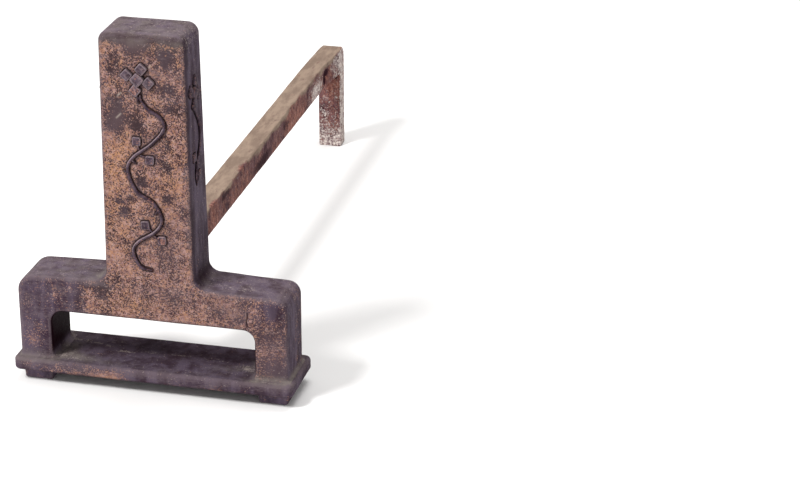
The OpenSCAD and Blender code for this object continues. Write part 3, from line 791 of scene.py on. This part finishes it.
# %% Marks of the standard
COPPER_PATCHES = [
    (-9, 381, 15, 9, -0.42), (26, 371, 10, 11, -0.4), (-32, 359, 9, 13, -0.22), (-28, 303, 10, 16, -0.5),
    (-25, 318, 8, 6, -0.3), (22, 341, 10, 6, -0.35), (29, 319, 11, 5, -0.25), (-7, 300, 8, 8, -0.42),
    (25, 279, 4, 7, -0.3), (-31, 326, 7, 6, -0.25), (24, 256, 5, 6, -0.42), (-5, 239, 6, 11, -0.36),
    (-31, 215, 5, 5, -0.45), (-24, 204, 6, 5, -0.45), (21, 221, 5, 5, -0.42), (-17, 218, 6, 4, -0.3),
    (38, 209, 3, 8, -0.2), (18, 153, 8, 17, -0.2), (27, 112, 9, 5, -0.42), (134, 106, 10, 9, -0.5),
    (136, 42, 8, 5, -0.45), (-60, 116, 16, 6, -0.35), (-52, 104, 7, 8, -0.12), (70, 100, 14, 5, -0.12),
    (95, 92, 6, 6, -0.25), (-104, 104, 8, 10, 0.36), (-90, 112, 5, 6, 0.24), (-134, 84, 4, 9, 0.24),
    (-128, 60, 9, 12, 0.18), (134, 36, 16, 6, -0.3), (-138, 46, 9, 9, 0.16), (0, 86, 40, 4, 0.1),
    (-96, 88, 10, 5, 0.2),
]
GOLD_PATCHES = [
    (-22, 366, 6, 7, 0.6), (-35, 384, 5, 5, 0.6), (10, 385, 5, 5, 0.6), (28, 386, 9, 4, 0.6),
    (37, 366, 4, 14, 0.6), (13, 328, 6, 6, 0.6), (-18, 335, 5, 6, 0.6), (-18, 284, 9, 13, 0.6),
    (-27, 270, 13, 12, 0.6), (-12, 92, 9, 6, 0.6), (-30, 250, 14, 16, 0.6), (-32, 195, 16, 40, 0.6),
    (10, 190, 12, 25, 0.6), (30, 240, 8, 20, 0.6), (-20, 100, 30, 8, 0.6),
]
DULL_PATCHES = [
    (130, 56, 16, 34, 0.42), (84, 102, 26, 18, 0.42), (6, 350, 34, 36, 0.22), (24, 170, 16, 50, 0.2),
    (20, 110, 30, 14, 0.25), (-28, 303, 12, 18, 0.4), (-9, 383, 16, 9, 0.4), (12, 175, 40, 60, 0.14),
]
CHALK_TOP = [
    (-97, -362, 6, 3, 0.3), (-98, -355, 5, 2, 0.3), (-75, -350, 14, 4, 0.16), (80, -354, 14, 3, 0.3),
    (104, -350, 10, 4, 0.26), (62, -343, 10, 5, 0.2), (88, -338, 16, 4, 0.16), (98, -358, 12, 3, 0.2),
]
SCRATCHES = [((-28.5, 306), (-24, 310.5)), ((-26.5, 330), (-23, 333)), ((8, 362), (9.5, 364.5))]


# Dirt and painted shade in the gutters round the relief, darkest at the relief's edge and darker on the
# sides.
def relief_grime_and_shade(points, plans):
    grime = np.zeros(len(points))
    for plan in plans:
        spots, out = flat_on(points, plan)
        share = 0.8 if plan["rise"] == 1 else 1
        near = groove(gap_to_relief(spots, plan) - 0.15) * (np.abs(out) < 2.5)
        grime = np.maximum(grime, share * near)
    return grime


def standard_marks(points, normals, bends):
    x, y, z = points.T
    off, flat = np.abs(x), points[:, [0, 2]]
    on_top, on_bridge = z > 380, np.abs(z - 121) < 3
    front = ease(-normals[:, 1], 0.35, 0.85) * (y < -366)
    # The hollow behind the front wall is painted in shade: darker, with less copper and less wear.
    inside = (y > HOLLOW_FRONT - 0.5) & (z > 87) & (z < 392) & (off < 141.2) & ((off < 42) | (z < 117))

    copper = np.where(z > 128, 0.58 - 0.05 * ease(z, 280, 320), 0.17 + 0.39 * ease(x, -88, -62))
    copper = np.where((z < 84) & (x > 100), 0.44, copper) + patches(x, z, COPPER_PATCHES)
    copper -= 0.1 * ease(x, 85, 110) * (z > 84) + 0.45 * ease(z, 384, 391) * on_top
    copper_outside = 0.04 + 0.18 * (x > 140) * (y > -345)

    # A painted highlight runs along the bridge's front top edge. The paler veil on the lower left front is
    # wear and a painted sheen.
    highlight_line = bell(z, 119.8, 1.8) * bell(y, -370, 2.2)
    worn = 0.2 + 0.4 * np.clip(bends, 0, 1) + 0.14 * ease(normals[:, 2], 0.5, 0.9) - 0.3 * inside
    worn += 0.4 * highlight_line + 0.2 * front * (1 - ease(x, -100, -60)) * (z < 124)
    brown = ease(z, 118, 134) + 0.7 * ease(x, 95, 125) * (1 - ease(z, 88, 100))
    brown += ease(x, -100, -60) * (1 - ease(x, 95, 125)) * (1 - ease(z, 118, 134))
    chalk = 1.5 * patches(x, y, CHALK_TOP) * on_bridge - 0.06
    chalk += 0.22 * spot(x, z, (42, 388), (7, 9)) + 0.12 * on_top
    scratch = sum(bell(near_line(flat, [Vector(a), Vector(b)]), 0, 0.8) for a, b in SCRATCHES)

    nook = np.where(off < 112.2, 0.3, 0.8) * bell(z, PLATE_TOP, 5) + 0.4 * bell(z, 388, 5) * front
    nook += np.where(x > 0, 0.2, 0.6) * np.clip(-bends, 0, 1) * (z > 100)
    nook += 0.5 * spot(x, y, (-60, -363), (12, 8)) * on_bridge

    # Dark marks: painted shade under the bridge, in the hollow, in the legs' opening and where the pillar
    # meets the bridge. Also a dark band on the side faces by the front edge, a dark spot on the front by the
    # right shoulder, and dirt with painted shade in the gutters and the crack.
    arris = 0.5 * ease(np.abs(normals[:, 0]), 0.6, 0.95) * bell(y, -366, 4) * (z > 130)
    under = 0.6 * ease(-normals[:, 2], 0.3, 0.9) * (z > 60)
    leg_inside = (off < 112.5) * (z < 84) * (y > -370) * ease(z, 31, 38)
    crack = bell(near_line(flat, CRACK), 0, 0.75) * front
    corner = 0.65 * spot(x, z, (49, 129), (5, 8)) * (y > -367) * (1 - front)
    corner += 0.4 * spot(x, z, (135, 105), (8, 9)) * front
    relief = relief_grime_and_shade(points, plans)
    grime = np.maximum.reduce([relief, arris, 0.5 * inside, under, leg_inside, crack, corner])
    return {
        "copper": copper * front + copper_outside * (1 - front) - 0.25 * inside, "worn": worn,
        "gold": patches(x, z, GOLD_PATCHES) * front, "dull": patches(x, z, DULL_PATCHES) * front,
        "brown": 0.75 * brown * front, "chalk": chalk - 0.3 * front, "grime": grime, "nook": nook,
        "dusty": 0.3 + 0.14 * on_top - 0.12 * (x > 50) * (z < 130), "scratch": 0.8 * scratch * front,
    }


place_piece(standard, "standard_casting", ["front_standard"], cast_paint, standard_marks)

# %% [markdown]
# The base plate is a plain cast slab. Its corners are rounded seen from above, then its upper and lower
# edges.

# %% Base plate
def soft_slab(low, high, corner, edge, steps=5):
    bm = soft_box(low, high, corner, 6, lambda e: abs(e.verts[0].co.z - e.verts[1].co.z) > 1)
    soften(bm, rims(bm, 2), edge, steps)
    return bm


PLATE_COPPER = [
    (-78, 19, 30, 7, 0.56), (-44, 17, 20, 6, 0.52), (-134, 21, 10, 6, 0.22), (-104, 20, 8, 7, 0.34),
    (72, 15, 10, 4, 0.3), (8, 15, 30, 4, 0.1),
]
PLATE_CHALK = [
    (-93, -324, 8, 2.5, 0.34), (-105, -322, 6, 2, 0.3), (-75, -327, 7, 2, 0.3), (-58, -320, 8, 2, 0.3),
    (-45, -340, 7, 3, 0.34), (-62, -331, 5, 2, 0.26), (-36, -340, 5, 2, 0.26), (-16, -335, 12, 3, 0.2),
    (18, -335, 14, 3, 0.2), (60, -338, 16, 4, 0.16), (95, -345, 12, 4, 0.2), (132, -340, 8, 12, 0.14),
    (-106, -362, 12, 5, 0.24), (-88, -367, 14, 3, 0.2), (100, -352, 8, 4, 0.26), (128, -375, 18, 2.5, 0.24),
]
PLATE_DUST = [
    (-104, -358, 14, 10, 1), (-84, -363, 16, 8, 0.7), (-99, -338, 8, 14, 0.45), (-88, -318, 8, 10, 0.3),
    (-60, -367, 22, 5, 0.3), (97, -350, 10, 6, 0.8), (102, -334, 5, 7, 0.6), (72, -354, 20, 6, 0.28),
    (130, -374, 22, 4, 0.5), (146, -345, 4, 20, 0.25),
]


def plate_marks(points, normals, bends):
    x, y, z = points.T
    front = ease(-normals[:, 1], 0.2, 0.8) * (y < -370)
    pools, lip = patches(x, y, PLATE_DUST), bell(y, -375, 5)
    leg = bell(np.maximum(np.abs(np.abs(x) - 129) - 18, 0), 0, 9) * (z > 24)
    by_legs = (leg * (1 - 0.35 * (x > 0)) + 0.06) * (0.4 + 0.6 * lip) * (1 - 0.5 * (x > 146))
    # A painted shadow of the bridge lies across the plate's middle, kept off the dust pools, and a painted
    # highlight runs along the front top edge.
    shade = bell(y, -325, 26) * (np.abs(x) < 112) * ease(normals[:, 2], 0.3, 0.9) * (1 - np.minimum(pools, 1))
    highlight_line = bell(z, 26.5, 1.8) * bell(y, -379.5, 2)
    # The dark mark is painted shade on the underside and under the bridge.
    return {
        "copper": (0.08 + patches(x, z, PLATE_COPPER)) * front + 0.04 * (1 - front),
        "chalk": 2.4 * patches(x, y, PLATE_CHALK) - 0.04, "dusty": 0.03 + 0.05 * lip,
        "worn": 0.18 + 0.42 * np.clip(bends, 0, 1) * (z > 20) + 0.4 * highlight_line + 0.2 * front,
        "grime": np.maximum(0.5 * ease(-normals[:, 2], 0.3, 0.9), 0.6 * shade),
        "nook": pools * (z > 24) * (1 - front) + by_legs,
    }


plate = soft_slab((-153.75, -381, 13), (153.75, -300, PLATE_TOP), 8, 4)
slice_up(plate, 0, np.arange(-148, 149, 4.3))
slice_up(plate, 1, np.arange(-376, -304, 4.1))
weather(plate, 0.2, 0.12, 2)
place_piece(plate, "plate_slab", ["base_plate"], cast_paint, plate_marks)

# %% [markdown]
# Each foot is a block that widens towards the plate. Two screws come up through it, so it has countersunk
# holes.

# %% Feet
FOOT_HALF_WIDTH, FOOT_HALF_DEPTH = 16, 29.5
SHANK_HOLE, HEAD_HOLE = 3.55, 6.8


def foot_block(side):
    foot = soft_slab((-FOOT_HALF_WIDTH, -FOOT_HALF_DEPTH, 0), (FOOT_HALF_WIDTH, FOOT_HALF_DEPTH, 14), 4, 2, 3)
    slice_up(foot, 2, [3, 5.5, 8, 10, 11.3, 12.3])
    for vert in foot.verts:
        grow = 2 * min(1, max(0, vert.co.z - 4) / 9) ** 2
        vert.co.x *= 1 + grow / FOOT_HALF_WIDTH
        vert.co.y *= 1 + grow / FOOT_HALF_DEPTH
    slice_up(foot, 0, np.arange(-12, 13, 4.9))
    slice_up(foot, 1, np.arange(-25, 26, 5.1))
    bmesh.ops.translate(foot, vec=(side * FOOT_X, FOOT_Y, 0), verts=foot.verts)
    holes = []
    for x, y in chosen(SCREWS, lambda s: s[0] * side > 0):
        for z, radius, length, tip in [
            (7, SHANK_HOLE, 30, None), (0.25, HEAD_HOLE, 2.5, None), (3.125, HEAD_HOLE, 3.25, SHANK_HOLE),
        ]:
            holes.append(("DIFFERENCE", drill((x, y, z), (0, 0, 1), radius, length, tip)))
    foot = carved(foot, holes)
    weather(foot, 0.12, 0.12, 3 + side)
    return foot


def foot_marks(points, normals, bends):
    # Painted shade on the downward faces.
    under = ease(-normals[:, 2], 0.3, 0.9)
    return {"copper": 0.24, "worn": 0.3 + 0.35 * np.clip(bends, 0, 1), "grime": 0.3 * under}


for side, word in [(-1, "left"), (1, "right")]:
    place_piece(foot_block(side), "foot_block_" + word, [word + "_foot"], foot_paint, foot_marks)

# %% [markdown]
# The four plate screws are turned parts, and their CAD shapes are right as they are. They only get the iron
# finish.

# %% Plate screws
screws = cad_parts["plate_screws"]
screws.material_slots[0].link = "OBJECT"
screws.material_slots[0].material = bolt_paint
print("plate screws painted")

# %% [markdown]
# The bar is wrought, not cast. A smith forged it from square stock, spread its end and bent it down into a
# leg. So it starts as the side view of bar and leg, pulled out to the bar's width. Then the end is widened,
# the faces get uneven hammer marks, and a fold is pressed in where the bend was closed.

# %% Wrought bar
LEG_LEFT, LEG_RIGHT = -19.5, 10.5
BAR_FRONT, FLARE_START, LEG_FRONT, BAR_BACK = -361.7, 300, 360, 381
BAR_LOW, BAR_TOP = 100.4, 131.8
side_view = [(BAR_FRONT, BAR_LOW), (LEG_FRONT, BAR_LOW), (LEG_FRONT, 0), (BAR_BACK, 0), (BAR_BACK, BAR_TOP),
             (BAR_FRONT, BAR_TOP)]
bar = pulled_outline([(BAR_LEFT, y, z) for y, z in side_view], (BAR_RIGHT - BAR_LEFT, 0, 0))
soften(bar, corner_edges(bar, (1, 2), (BAR_BACK, BAR_TOP)), 4, 5)
soften(bar, corner_edges(bar, (1, 2), (LEG_FRONT, BAR_LOW)), 3, 3)
soften(bar, rims(bar, 0), 2, 4)
slice_up(bar, 1, np.concatenate([np.arange(-355, 270, 5.3), np.arange(272, 380, 2.3)]))
slice_up(bar, 2, np.arange(2.3, 130, 2.9))
slice_up(bar, 0, np.arange(-17, 4, 3.1))


def hammered(vert):
    y, z = vert.co.y, vert.co.z
    spread = ease(y, FLARE_START, LEG_FRONT)
    share = (vert.co.x - BAR_LEFT) / (BAR_RIGHT - BAR_LEFT)
    vert.co.x += (LEG_LEFT + share * (LEG_RIGHT - LEG_LEFT) - vert.co.x) * spread
    crown = ease(z, 119, BAR_TOP) * ease(y, 350, BAR_BACK)
    vert.co.x += (0.5 * (LEG_LEFT + LEG_RIGHT) - vert.co.x) * 0.1 * crown ** 2


def dent(vert, centre, size, depth):
    away = Vector([(a - b) / s for a, b, s in zip(vert.co, centre, size)])
    vert.co -= vert.normal * depth * math.exp(-away.length_squared)


DENTS = [((5, 311, 118), (4, 9, 6), 2.6), ((5, 306, 110), (4, 5, 6), 2.2), ((3.5, 360, 94), (5, 4, 4), 1.6),
         ((5, 275, 110), (3, 20, 5), 0.7), ((9, 345, 118), (4, 12, 6), 0.8), ((-7, 360, 66), (7, 4, 5), 0.9),
         ((1, 360, 52), (6, 4, 4), 0.8)]
for vert in bar.verts:
    hammered(vert)
weather(bar, 0.28, 0.18, 5)
bar.normal_update()
for vert in bar.verts:
    for centre, size, depth in DENTS:
        dent(vert, centre, size, depth)


def ash_cover(x, y, z):
    """Ash on the top, whose limit wanders over the long edges, now out over the side, now back"""
    out_right = BAR_TOP - z + x - BAR_RIGHT - (LEG_RIGHT - BAR_RIGHT) * ease(y, FLARE_START, LEG_FRONT)
    out_left = BAR_TOP - z + BAR_LEFT - x
    limit = 1 + 2.5 * np.sin(y / 17 + 1) + 1.5 * np.sin(y / 6.3) - 3 * ease(y, 325, 350)
    limit += 6 * bell(y, 290, 22) + 3.5 * bell(y, 60, 60) - 4 * bell(y, -62, 26) - 3 * bell(y, -170, 20)
    return np.minimum(1 - ease(out_right, limit - 4, limit + 4), 1 - ease(out_left, -2, 6))


RUST_BANDS = [(-165, 20, 0.2), (-58, 26, 0.15), (180, 30, 0.2), (32, 30, -0.3), (-110, 18, -0.2)]
DARK_PATCHES = [(25, 109, 48, 9, 0.85), (126, 116, 26, 7, 0.62), (-118, 124, 30, 5, 0.7),
                (195, 119, 22, 4, 0.4), (-60, 104, 30, 4, 0.4)]


def bar_marks(points, normals, bends):
    x, y, z = points.T
    right, left = ease(normals[:, 0], 0.4, 0.9), ease(-normals[:, 0], 0.4, 0.9)
    side = np.maximum(right, left)
    leg = ease(y, 352, 360)
    leg_face = leg * ease(-normals[:, 1], 0.4, 0.9)
    rust = 0.46 + 0.18 * np.sin(y / 13) * np.sin(y / 37 + 1) - 0.15 * ease(z, 112, 128) * (1 - leg)
    for middle, reach, more in RUST_BANDS:
        rust += more * bell(y, middle, reach)
    rust += leg_face * (0.3 * spot(x, z, (2, 82), (12, 14)) - 0.1 * spot(x, z, (-12, 52), (8, 14)))
    crust = 0.04 + 0.76 * right * spot(y, z, (266, 111), (30, 13)) + 0.42 * right * ease(y, 318, 335)
    crust += 0.2 * right * leg + 0.3 * left * leg - 0.5 * right * spot(y, z, (325, 106), (12, 9))
    crust += leg_face * (0.08 + 0.56 * bell(z, 0, 30) + 0.24 * spot(x, z, (-11, 48), (7, 12)))
    crust += leg_face * (0.3 * ease(x, 8, 10.4) + patches(x, z, [(4, 69, 4, 3, 0.35), (-9, 66, 4, 3, 0.3)]))
    # The slot and the spot below it are painted shadow in the fold where the leg was bent and under the
    # flared end; the other patches are dark patches along the sides.
    slot = np.maximum(spot(y, z, (312, 118), (9, 6)), spot(y, z, (306, 110), (6, 7))) * (x > 0) * (z > 102)
    grime = np.maximum(ease(slot, 0.25, 0.7), 0.8 * leg_face * spot(x, z, (3.5, 95), (5, 3.5)))
    for patch in DARK_PATCHES:
        grime = np.maximum(grime, side * patches(y, z, [patch]))
    # Painted shade on the downward faces and on the part of the bar inside the casting.
    below = ease(-normals[:, 2], 0.3, 0.9) * 0.35 + 0.3 * (y < -318)
    return {"rust": rust, "crust": crust, "ash": ash_cover(x, y, z), "grime": np.maximum(grime, below)}


place_piece(bar, "wrought_bar", ["billet_bar"], bar_paint, bar_marks)

# %% [markdown]
# Two square-headed bolts clamp the bar between the lugs. Heads and nuts were forged and their edges filed,
# and the threads, washers and shanks are turned. So the first are bevelled boxes, and the others are spun
# from a profile.

# %% Bolts, washers and nuts
def turned_along_x(profile, y):
    bm = bmesh.new()
    verts = [bm.verts.new((x, y, BOLT_Z + radius)) for x, radius in profile]
    edges = [bm.edges.new(pair) for pair in zip(verts, verts[1:])]
    bmesh.ops.spin(bm, geom=verts + edges, cent=(0, y, BOLT_Z), axis=(1, 0, 0), angle=2 * math.pi,
                   steps=40, use_merge=True)
    bmesh.ops.remove_doubles(bm, verts=bm.verts, dist=0.02)
    bmesh.ops.recalc_face_normals(bm, faces=bm.faces)
    return bm


def filed_square(start, end, y):
    half = 6.5
    return soft_box((start, y - half, BOLT_Z - half), (end, y + half, BOLT_Z + half), 0.9)


def no_marks(points, normals, bends):
    return {}


WASHER_END, NUT_END = LUG_RIGHT + 2, LUG_RIGHT + 8.5
bolts, washers, nuts = [], [], []
for y in BOLTS_Y:
    crests = [at for x in np.arange(15.5, 23.4, 1.25) for at in ((x, 3.4), (x + 0.62, 4))]
    shank = [(-29.3, 0.01), (-29.3, 4), (14, 4), *crests, (24.1, 3.4), (24.55, 2.8), (24.55, 0.01)]
    bolts += [filed_square(LUG_LEFT - 5.5, LUG_LEFT, y), turned_along_x(shank, y)]
    ring = [(LUG_RIGHT, BOLT_HOLE), (LUG_RIGHT, 8.2), (13.3, 8.5), (14.75, 8.5), (WASHER_END, 8.2),
            (WASHER_END, BOLT_HOLE), (LUG_RIGHT, BOLT_HOLE)]
    washers.append(turned_along_x(ring, y))
    nuts.append(filed_square(WASHER_END, NUT_END, y))
for parts, word in [(bolts, "bolts"), (washers, "washers"), (nuts, "nuts")]:
    place_piece(merged(parts), "clamp_" + word, ["bar_" + word], bolt_paint, no_marks)

# %% [markdown]
# Petals, boss and leaves are small square pads with a slightly domed top and rubbed rims. They reach a
# little into the casting, so that no gap shows under them. The relief on the sides is lower than on the
# front.

# %% Square pads
def square_pad(width, height, corner, edge, turn, dome, seed, place):
    half = width / 2
    pad = soft_box((-half, -half, -1.6), (half, half, height), corner, 4,
                   lambda e: abs(e.verts[0].co.z - e.verts[1].co.z) > 1)
    soften(pad, chosen(pad.edges, lambda e: min(v.co.z for v in e.verts) > height - 0.01), edge, 4)
    cuts = np.linspace(-half, half, 9)[1:-1]
    slice_up(pad, 0, cuts)
    slice_up(pad, 1, cuts + 0.013)
    for vert in pad.verts:
        if vert.co.z > 0:
            bulge = (vert.co.x ** 2 + vert.co.y ** 2) / half ** 2
            wobble = 0.12 * noise.noise(vert.co / 3 + Vector((seed, 0, seed * 2)))
            vert.co.z -= (dome * bulge + 0.06 + wobble) * vert.co.z / height
    bmesh.ops.rotate(pad, matrix=Matrix.Rotation(math.radians(turn), 3, "Z"), verts=pad.verts)
    bmesh.ops.translate(pad, vec=(*place, 0), verts=pad.verts)
    return pad


def relief_marks(plan, kind, faded, highlit_crest):
    def marks(points, normals, bends):
        spots, out = flat_on(points, plan)
        worn = 0.17 + 0.52 * np.clip(bends, 0, 1)
        # On the stem only a narrow line along the crest that faces up and left is made pale: a painted
        # highlight.
        if highlit_crest:
            highlight_way = plan["face"].to_3x3() @ Vector((-0.5, 0.45, 0.74))
            worn = 0.06 + 0.75 * ease(normals @ np.array(highlight_way), 0.86, 0.99)
        worn = (worn - faded) if plan["side"] == "front" else 0.35 * worn
        copper = 0.2 + patches(spots[:, 0], spots[:, 1], plan["coppery"].get(kind, []))
        # The foot of each pad and rod, where it meets the face, is darkened: painted shade.
        return {"copper": copper, "worn": worn, "grime": 0.9 * ease(-out, -0.5 * plan["rise"], 0.3)}
    return marks


def place_relief(bm, plan, kind, faded=0, highlit_crest=False, sharp=35):
    for vert in bm.verts:
        if vert.co.z > 0:
            vert.co.z *= plan["rise"]
    bmesh.ops.transform(bm, matrix=plan["face"] @ Matrix.Translation((0, plan["up"], 0)), verts=bm.verts)
    if plan["face"].determinant() < 0:
        bmesh.ops.reverse_faces(bm, faces=bm.faces)
    side, marks = plan["side"], relief_marks(plan, kind, faded, highlit_crest)
    place_piece(bm, kind + "_" + side, [side + "_" + kind], plan["paint"], marks, sharp)


def flower(plan):
    boss = square_pad(11.6, 5, 2.1, 1.6, 48, 0.3, 1, (plan["flower"], 0))
    place_relief(boss, plan, "flower_boss", 0.08)
    petals = [square_pad(10, 3.4, 1.5, 1.0, turn, 0.2, 2 + number, petal_centre(plan, direction))
              for number, (direction, turn) in enumerate(PETALS)]
    place_relief(merged(petals), plan, "flower_petals")


def leaves(plan):
    pads = [square_pad(9, 2, 1.8, 0.8, turn, 0.1, 8 + number, (x, y))
            for number, (x, y, turn) in enumerate(plan["leaves"])]
    place_relief(merged(pads), plan, "vine_leaves", 0.14)


# %% [markdown]
# The stem is a curve with a round bevel. Its points follow the vine's bends, and each has its own radius:
# fine at the ends and swollen at the knuckles. Short twigs join the leaves to it and stand out as thorns.

# %% Vine stem
def rod(places, radii):
    curve = bpy.data.curves.new("spare", "CURVE")
    curve.dimensions = "3D"
    curve.bevel_depth = 1
    curve.bevel_resolution = 4
    curve.use_fill_caps = True
    spline = curve.splines.new("POLY")
    spline.points.add(len(places) - 1)
    for point, place, radius in zip(spline.points, places, radii):
        point.co = (*place, 1)
        point.radius = radius
    bm = evaluated(add_object("spare", curve))
    bmesh.ops.remove_doubles(bm, verts=bm.verts, dist=0.001)
    bmesh.ops.recalc_face_normals(bm, faces=bm.faces)
    return bm


def stem(plan):
    line = smooth_line(plan["knots"])
    radii, places = [], []
    for i, point in enumerate(line):
        end = min(i, len(line) - 1 - i)
        knuckle = sum(math.exp(-((point - Vector(k)).length / 1.5) ** 2) for k in plan["knuckles"])
        thick = 1.65 * min(1, 0.3 + 0.12 * end) * (1 + 0.06 * noise.noise(Vector((i * 0.4, 2, 3))))
        radii.append(thick + 0.5 * knuckle)
        places.append((point.x, point.y, min(1.05, thick * 0.5)))
    rods = [rod(places, radii)]
    for start, end in plan["twigs"]:
        start, end = Vector(start), Vector(end)
        middle = (start + end) / 2
        rods.append(rod([(*start, 0.5), (*middle, 0.75), (*end, 0.3)], [0.9, 0.85, 0.5]))
    place_relief(merged(rods), plan, "vine_stem", highlit_crest=True, sharp=60)


for plan in plans:
    flower(plan)
    stem(plan)
    leaves(plan)
